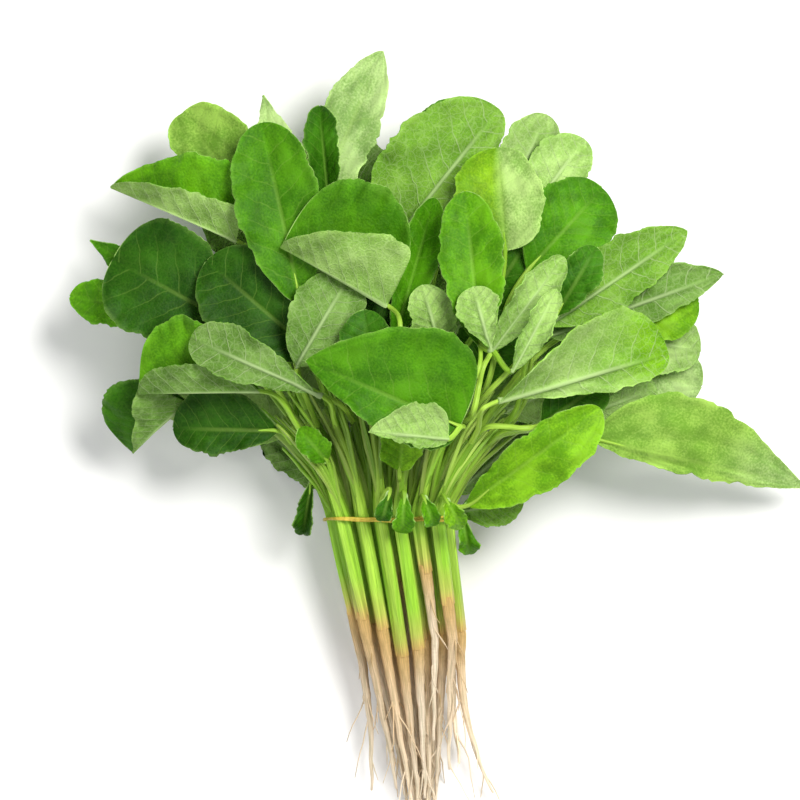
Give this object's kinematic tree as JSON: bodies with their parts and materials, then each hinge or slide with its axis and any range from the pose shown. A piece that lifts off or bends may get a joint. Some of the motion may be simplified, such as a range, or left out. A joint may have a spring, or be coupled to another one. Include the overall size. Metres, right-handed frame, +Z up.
{
  "type": "leafy vegetable bunch",
  "caption": "Tied bunch of leafy greens with stems and tan roots, lying on its side; broad leaves fan out above a thin rubber band.",
  "frame": {"origin": "on the surface the bunch lies on, below the middle of its outline", "axes": "+Z up from the surface, +Y from the roots to the leaf tips, +X to the right seen from above"},
  "size_m": [0.2994, 0.3143, 0.1033],
  "materials": {
    "shoot": "satin",
    "root": "matte",
    "band": "matte"
  },
  "bodies": {
    "root": {"shoot_A1": "shoot", "shoot_A2": "shoot", "shoot_A3": "shoot", "shoot_A4": "shoot", "shoot_A5": "shoot", "shoot_A6": "shoot", "shoot_B1": "shoot", "shoot_B2": "shoot", "shoot_B3": "shoot", "shoot_B4": "shoot", "shoot_B5": "shoot", "shoot_B6": "shoot", "shoot_B7": "shoot", "shoot_C1": "shoot", "shoot_C2": "shoot", "shoot_C3": "shoot", "shoot_C4": "shoot", "shoot_C5": "shoot", "shoot_C6": "shoot", "shoot_D1": "shoot", "shoot_D2": "shoot", "shoot_D3": "shoot", "shoot_D4": "shoot", "shoot_D5": "shoot", "root_A1": "root", "root_A2": "root", "root_A3": "root", "root_A4": "root", "root_A5": "root", "root_A6": "root", "root_B1": "root", "root_B2": "root", "root_B3": "root", "root_B4": "root", "root_B5": "root", "root_B6": "root", "root_B7": "root", "root_C1": "root", "root_C2": "root", "root_C3": "root", "root_C4": "root", "root_C5": "root", "root_C6": "root", "root_D1": "root", "root_D2": "root", "root_D3": "root", "root_D4": "root", "root_D5": "root", "tie_band": "band"}
  },
  "joints": []
}
